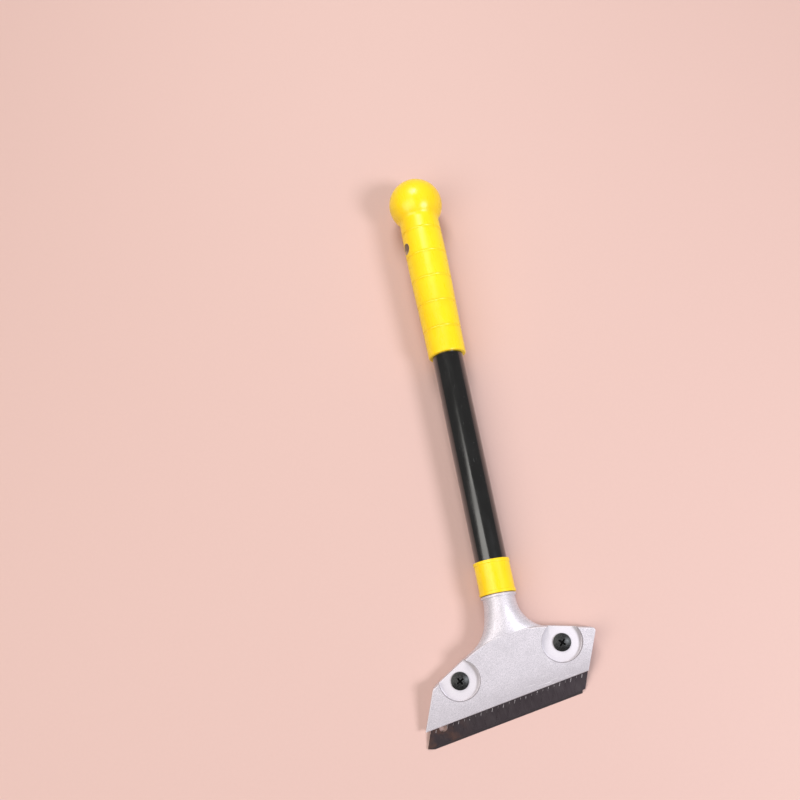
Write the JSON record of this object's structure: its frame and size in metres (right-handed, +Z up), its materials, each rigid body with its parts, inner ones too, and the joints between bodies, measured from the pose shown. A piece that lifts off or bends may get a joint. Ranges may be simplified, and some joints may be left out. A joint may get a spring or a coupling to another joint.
{
  "type": "floor scraper",
  "caption": "Hand-held floor scraper: angled cast head that clamps a straight snap-off strip blade, black tube handle and ball-ended grip with a hang hole.",
  "frame": {"origin": "middle of the bounding box on the floor the tool lies on", "axes": "+Y along the handle towards the ball of the grip, +Z up, +X to the right seen from above with the ball at the top"},
  "size_m": [0.1116, 0.3667, 0.036],
  "materials": {
    "cast_head": "fine-grain silver coat on a smooth casting, satin",
    "blade_steel": "dark ground spring steel",
    "black_screw": "black oxide, satin",
    "black_tube": "gloss black paint",
    "rivet_steel": "dressed flush",
    "yellow_plastic": "gloss moulded"
  },
  "bodies": {
    "handle": {"head_body": "cast_head", "shaft_tube": "black_tube", "retaining_rivet": "rivet_steel", "grip": "yellow_plastic"},
    "clamp_plate": {"clamp_plate": "cast_head"},
    "blade": {"blade": "blade_steel"},
    "clamp_screw_left": {"clamp_screw_left": "black_screw"},
    "clamp_screw_right": {"clamp_screw_right": "black_screw"},
    "collar": {"collar": "yellow_plastic"}
  },
  "joints": [
    {"name": "clamp_plate_slide", "type": "slide", "parent": "handle", "child": "clamp_plate", "axis": [-0.0366, 0.2201, -0.9748], "range_m": [0, 0.0016]},
    {"name": "clamp_screw_left_turn", "type": "hinge", "parent": "handle", "child": "clamp_screw_left", "pos_m": [-0.0291, -0.14815, 0.00976], "axis": [0.0366, -0.2201, 0.9748], "range_deg": [0, 720]},
    {"name": "clamp_screw_right_turn", "type": "hinge", "parent": "handle", "child": "clamp_screw_right", "pos_m": [0.03501, -0.13748, 0.00976], "axis": [0.0366, -0.2201, 0.9748], "range_deg": [0, 720]},
    {"name": "blade_slide", "type": "slide", "parent": "handle", "child": "blade", "axis": [0.9864, 0.1642, 0], "range_m": [0, 0.105]},
    {"name": "collar_slide", "type": "slide", "parent": "handle", "child": "collar", "axis": [0, 0.9998, 0.0222], "range_m": [0, 0.1355]}
  ],
  "couplings": [
    {"joint": "clamp_screw_left_turn", "follows": "clamp_plate_slide", "rad_per_m": 7854},
    {"joint": "clamp_screw_right_turn", "follows": "clamp_plate_slide", "rad_per_m": 7854}
  ]
}
